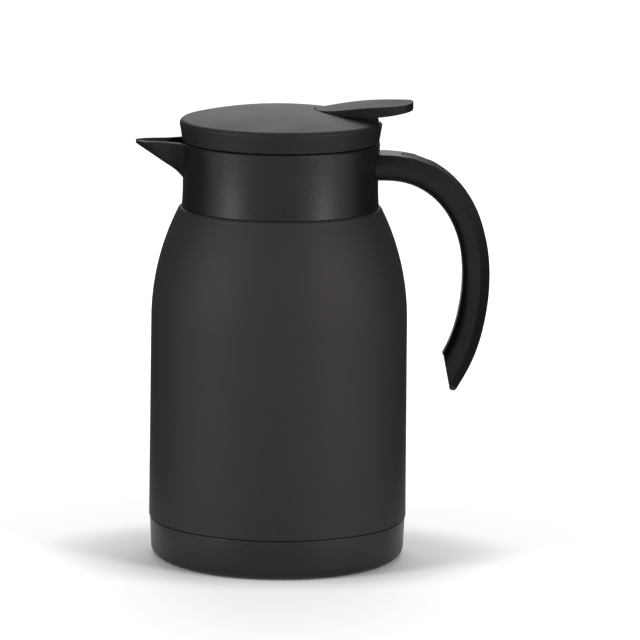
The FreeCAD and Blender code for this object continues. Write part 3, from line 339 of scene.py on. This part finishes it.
# %% Give every solid its finish
PIECES_OF_FINISH = (
    (powder_coat, ("outer_shell",)),
    (moulded_black, ("collar",)),
    (handle_grain, ("handle",)),
    (soft_grip, ("handle_back_strip",)),
    (base_grain, ("base_cap",)),
    (pad_rubber, ("base_pad",)),
    (lid_grain, ("lid_cap",)),
    (lever_grain, ("thumb_lever",)),
    (brushed_steel, ("inner_flask", "bottom_plate")),
    (bright_steel, ("handle_screws", "lid_screws", "lever_pin", "stem_clip", "valve_spring")),
    (solder, ("sealing_bead",)),
    (sintered, ("getter_pellet",)),
    (inner_black, ("stopper", "chamber_cover")),
    (pale_plastic, ("valve_stem", "valve_disc")),
    (silicone, ("collar_gasket", "stopper_seal", "cover_gasket", "stem_oring", "valve_seal")),
)
for mat, names in PIECES_OF_FINISH:
    for name in names:
        mesh = nodes[name].data
        mesh.materials.clear()
        mesh.materials.append(mat)
print("dressed solids:", sum(len(names) for mat, names in PIECES_OF_FINISH))

# %% [markdown]
# ## Shell and base cap
# Both are turned shapes, so one rule makes them: a profile beside the axis, carried round it.
# A spin in mesh code would do, but as a Geometry Nodes tree the rule stays readable: a grid whose
# columns are angles and whose rows are profile points, each point moved to its place.
# The profile is drawn from radii and heights of the jug, with the small rounds of the seam edges.

# %% Profile helpers
MM = 0.001


def arc_between(start, through, end, count):
    """Points on the circle through three points, without the start."""
    (ax, ay), (bx, by), (cx, cy) = start, through, end
    a2, b2, c2 = ax**2 + ay**2, bx**2 + by**2, cx**2 + cy**2
    twice_area = 2 * (ax * (by - cy) + bx * (cy - ay) + cx * (ay - by))
    middle_x = (a2 * (by - cy) + b2 * (cy - ay) + c2 * (ay - by)) / twice_area
    middle_y = (a2 * (cx - bx) + b2 * (ax - cx) + c2 * (bx - ax)) / twice_area
    radius = math.hypot(ax - middle_x, ay - middle_y)
    first = math.atan2(ay - middle_y, ax - middle_x)
    sweep = math.atan2(cy - middle_y, cx - middle_x) - first
    sweep -= 2 * math.pi * round(sweep / (2 * math.pi))
    angles = [first + sweep * i / count for i in range(1, count + 1)]
    return [(middle_x + radius * math.cos(a), middle_y + radius * math.sin(a)) for a in angles]


def rounded(corners, count):
    """Closed profile from (point, radius) corners, with each radius drawn as an arc."""
    points = [Vector(point) for point, radius in corners]
    out = []
    for i, (point, radius) in enumerate(corners):
        corner = points[i]
        if radius == 0:
            out.append(tuple(corner))
            continue
        before = (points[i - 1] - corner).normalized()
        after = (points[(i + 1) % len(points)] - corner).normalized()
        half = before.angle(after) / 2
        leg = radius / math.tan(half)
        start, end = corner + before * leg, corner + after * leg
        middle = corner + (before + after).normalized() * (radius / math.sin(half) - radius)
        out += [tuple(start)] + arc_between(start, middle, end, count)
    return out


# %% Geometry Nodes: what every tree here begins and ends with
def tree_with_inputs(name, inputs):
    """Tree with one geometry output and inputs of the given kinds."""
    tree = bpy.data.node_groups.new(name, "GeometryNodeTree")
    tree.interface.new_socket("Geometry", in_out="OUTPUT", socket_type="NodeSocketGeometry")
    for label, kind in inputs.items():
        tree.interface.new_socket(label, in_out="INPUT", socket_type="NodeSocket" + kind)
    return tree, add_node(tree, "NodeGroupInput").outputs, add_node(tree, "NodeGroupOutput").inputs


def close_tree(tree, geometry, given, result):
    """Real geometry, the finish and the output."""
    real = add_node(tree, "GeometryNodeRealizeInstances", {0: geometry})
    dressed = {"Geometry": real.outputs[0], "Material": given["Finish"]}
    coat = add_node(tree, "GeometryNodeSetMaterial", dressed)
    tree.links.new(coat.outputs[0], result[0])
    return tree


# %% Geometry Nodes: a profile carried round the axis
WELD = 0.000001


def turned_tree():
    tree, given, result = tree_with_inputs("turned_wall", {
        "Profile": "Geometry", "Profile points": "Int", "Columns": "Int",
        "Crease": "Float", "Finish": "Material"})

    def calc(kind, *values):
        return add_node(tree, "ShaderNodeMath", dict(enumerate(values)), operation=kind).outputs[0]

    rows, columns = calc("ADD", given["Profile points"], 1), calc("ADD", given["Columns"], 1)
    grid = add_node(tree, "GeometryNodeMeshGrid", {"Vertices X": columns, "Vertices Y": rows})
    index = add_node(tree, "GeometryNodeInputIndex").outputs[0]
    column = calc("FLOOR", calc("DIVIDE", index, rows))
    row = calc("MODULO", calc("MODULO", index, rows), given["Profile points"])

    position = add_node(tree, "GeometryNodeInputPosition").outputs[0]
    sample = {"Geometry": given["Profile"], "Value": position, "Index": row}
    point = add_node(tree, "GeometryNodeSampleIndex", sample, data_type="FLOAT_VECTOR").outputs[0]
    angle = calc("MULTIPLY", calc("DIVIDE", column, given["Columns"]), 2 * math.pi)
    spin = add_node(tree, "ShaderNodeVectorRotate", {"Vector": point, "Angle": angle}, rotation_type="Z_AXIS")
    moved = {"Geometry": grid.outputs["Mesh"], "Position": spin.outputs["Vector"]}
    wall = add_node(tree, "GeometryNodeSetPosition", moved).outputs[0]
    weld = add_node(tree, "GeometryNodeMergeByDistance", {"Geometry": wall, "Distance": WELD}).outputs[0]

    smooth = add_node(tree, "GeometryNodeSetShadeSmooth", {"Geometry": weld}).outputs[0]
    bend = add_node(tree, "GeometryNodeInputMeshEdgeAngle").outputs["Unsigned Angle"]
    corner = calc("GREATER_THAN", bend, given["Crease"])
    keep_sharp = {"Geometry": smooth, "Selection": corner, "Shade Smooth": False}
    sharp = add_node(tree, "GeometryNodeSetShadeSmooth", keep_sharp, domain="EDGE").outputs[0]
    return close_tree(tree, sharp, given, result)


TURNED_WALL = turned_tree()
print("turned_wall nodes:", len(TURNED_WALL.nodes))


# %% From a tree to a plain piece
def plain_piece(name, seed_points, tree, values):
    """Object with a plain mesh, made by running a tree on a few seed points."""
    seed = bpy.data.meshes.new(name + "_seed")
    seed.from_pydata(seed_points, [], [])
    holder = bpy.data.objects.new(name + "_seed", seed)
    bpy.context.scene.collection.objects.link(holder)
    modifier = holder.modifiers.new("make", "NODES")
    modifier.node_group = tree
    for socket in tree.interface.items_tree:
        if socket.name in values:
            modifier[socket.identifier] = values[socket.name]
    ready = holder.evaluated_get(bpy.context.evaluated_depsgraph_get())
    mesh = bpy.data.meshes.new_from_object(ready)
    mesh.name = name
    bpy.data.objects.remove(holder)

    shape = bmesh.new()
    shape.from_mesh(mesh)
    bmesh.ops.recalc_face_normals(shape, faces=shape.faces)
    shape.to_mesh(mesh)
    shape.free()
    piece = bpy.data.objects.new(name, mesh)
    bpy.context.scene.collection.objects.link(piece)
    print(name, len(mesh.polygons), "faces")
    return piece


COLUMNS, CREASE = 288, math.radians(40)


def turned_piece(name, profile, coat):
    """Turned piece from a closed profile of (radius, height) in millimetres."""
    points = [(r * MM, 0, z * MM) for r, z in profile]
    sizes = {"Profile points": len(profile), "Columns": COLUMNS, "Crease": CREASE, "Finish": coat}
    return plain_piece(name, points, TURNED_WALL, sizes)


# %% [markdown]
# The outer shell is a drawn steel tube: a slow taper up to the shoulder, one long arc over it, a small shelf
# and the neck that the collar sits on. At the bottom the wall steps out over the base cap with a rounded hem.
# The inner face is the same line set in by the wall, so one function draws both.

# %% Outer shell
SEAM_Z, SHELL_FOOT_Z = 20.8, 7.4
FOOT_R, BODY_R, SHOULDER_R, SHOULDER_END_R, SHELF_R, NECK_R = 62.6, 64.85, 64.3, 51.3, 49.2, 46.0
SHOULDER_Z, SHOULDER_END_Z, SHELF_Z, NECK_TOP_Z = 121.0, 176.4, 178.1, 192.0
WALL, NECK_ROUND, SHOULDER_BOW = 0.6, 0.9, 0.5
HEM_START_IN, HEM_START_UP, HEM_MIDDLE_IN, HEM_MIDDLE_UP, HEM_END_UP = 0.3, 0.1, 0.08, 0.22, 0.5
HEM_STEPS, SHOULDER_STEPS, EDGE_STEPS, NECK_STEPS = 4, 48, 8, 6


def shell_side(inset):
    """Profile of the drawn body from its foot up to the neck's top."""
    body_r, hem_z = BODY_R - inset, SEAM_Z + inset
    r0, r1 = SHOULDER_R - inset, SHOULDER_END_R - inset
    half = (SHOULDER_END_Z - SHOULDER_Z) / 2
    bend_r = ((r0 - r1) ** 2 + (2 * half) ** 2) / (2 * (r0 - r1))
    over_shoulder = (r0 - bend_r + math.sqrt(bend_r**2 - half**2), SHOULDER_Z + half)
    neck_r, shelf_z = NECK_R - inset, SHELF_Z - inset
    chord = Vector((SHELF_R - r1, shelf_z - SHOULDER_END_Z))
    outward = Vector((chord.y, -chord.x)).normalized()
    over_edge = Vector((r1, SHOULDER_END_Z)) + chord / 2 + outward * SHOULDER_BOW
    dip = NECK_ROUND * (1 - math.sqrt(0.5))

    side = [(FOOT_R - inset, SHELL_FOOT_Z), (FOOT_R - inset, hem_z)]
    side += [(body_r - HEM_START_IN, hem_z + HEM_START_UP)]
    hem_middle = (body_r - HEM_MIDDLE_IN, hem_z + HEM_MIDDLE_UP)
    side += arc_between(side[-1], hem_middle, (body_r, hem_z + HEM_END_UP), HEM_STEPS)
    side += [(r0, SHOULDER_Z)]
    side += arc_between((r0, SHOULDER_Z), over_shoulder, (r1, SHOULDER_END_Z), SHOULDER_STEPS)
    side += arc_between((r1, SHOULDER_END_Z), tuple(over_edge), (SHELF_R, shelf_z), EDGE_STEPS)
    side += [(neck_r + NECK_ROUND, shelf_z)]
    neck_middle = (neck_r + dip, shelf_z + dip)
    side += arc_between(side[-1], neck_middle, (neck_r, shelf_z + NECK_ROUND), NECK_STEPS)
    return side + [(neck_r, NECK_TOP_Z)]


shell = turned_piece("powder_coated_shell", shell_side(0) + shell_side(WALL)[::-1], powder_coat)
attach(shell, "jug")
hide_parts("outer_shell")

# %% [markdown]
# The base cap is a moulded cup round the foot of the shell, with a wide round where the side meets the floor
# and a shallow seat for the pad below. Its corners are few, so they are listed, each with its own radius.

# %% Base cap
PAD_HOLE_R, PAD_HOLE_Z, CAP_FOOT_Z, CAP_FLOOR_Z = 50.15, 1.6, 0.4, 4.0
CAP_FOOT_R, CAP_TOP_R, CAP_INNER_R, CAP_TOP_Z = 63.52, 64.45, 62.8, 20.5
CAP_RAMP_R, CAP_RAMP_Z = 59.45, 7.3
FOOT_ROUND, TOP_ROUND, SMALL_ROUND, SHARP = 5.0, 0.35, 0.2, 0.0
ROUND_STEPS = 8

cap_corners = [
    ((0.0, PAD_HOLE_Z), SHARP),
    ((PAD_HOLE_R, PAD_HOLE_Z), SHARP),
    ((PAD_HOLE_R, CAP_FOOT_Z), SMALL_ROUND),
    ((CAP_FOOT_R, CAP_FOOT_Z), FOOT_ROUND),
    ((CAP_TOP_R, CAP_TOP_Z), TOP_ROUND),
    ((CAP_INNER_R, CAP_TOP_Z), SMALL_ROUND),
    ((CAP_INNER_R, CAP_RAMP_Z), SHARP),
    ((CAP_RAMP_R, CAP_FLOOR_Z), SHARP),
    ((0.0, CAP_FLOOR_Z), SHARP),
]
cap = turned_piece("moulded_base_cap", rounded(cap_corners, ROUND_STEPS), base_grain)
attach(cap, "jug")
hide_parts("base_cap")

# %% [markdown]
# ## Valve spring
# A coil of drawn wire sits between the valve disc and the chamber cover and closes the pour valve.
# A Screw modifier could wind it; a Spiral curve swept by a circle says the same in a few nodes.
# Pressing the lever lifts the valve, and the coil is attached to the valve's body.

# %% Geometry Nodes: a coil
POINTS_A_TURN, WIRE_SIDES = 40, 14


def coil_tree():
    tree, given, result = tree_with_inputs("wound_coil", {
        "Seed": "Geometry", "Coil radius": "Float", "Wire radius": "Float", "Turns": "Float",
        "Height": "Float", "Foot height": "Float", "Finish": "Material"})
    winding = {"Start Radius": given["Coil radius"], "End Radius": given["Coil radius"],
               "Rotations": given["Turns"], "Height": given["Height"], "Resolution": POINTS_A_TURN}
    spiral = add_node(tree, "GeometryNodeCurveSpiral", winding).outputs[0]
    lift = add_node(tree, "ShaderNodeCombineXYZ", {"Z": given["Foot height"]}).outputs[0]
    path = add_node(tree, "GeometryNodeSetPosition", {"Geometry": spiral, "Offset": lift}).outputs[0]
    wire = {"Resolution": WIRE_SIDES, "Radius": given["Wire radius"]}
    section = add_node(tree, "GeometryNodeCurvePrimitiveCircle", wire).outputs[0]
    tube = {"Curve": path, "Profile Curve": section, "Fill Caps": True}
    sweep = add_node(tree, "GeometryNodeCurveToMesh", tube).outputs[0]
    smooth = add_node(tree, "GeometryNodeSetShadeSmooth", {"Geometry": sweep}).outputs[0]
    return close_tree(tree, smooth, given, result)


# %% Wind the spring
COIL_R, WIRE_R, COIL_TURNS, COIL_FOOT_Z, COIL_TOP_Z = 7.7, 0.55, 6.0, 190.25, 210.35

wire_height = COIL_TOP_Z - COIL_FOOT_Z
coil_sizes = {
    "Coil radius": COIL_R * MM, "Wire radius": WIRE_R * MM, "Turns": COIL_TURNS,
    "Height": wire_height * MM, "Foot height": COIL_FOOT_Z * MM, "Finish": bright_steel,
}
spring = plain_piece("wound_valve_spring", [(0, 0, 0)], coil_tree(), coil_sizes)
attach(spring, "valve")
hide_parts("valve_spring")
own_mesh(spring)
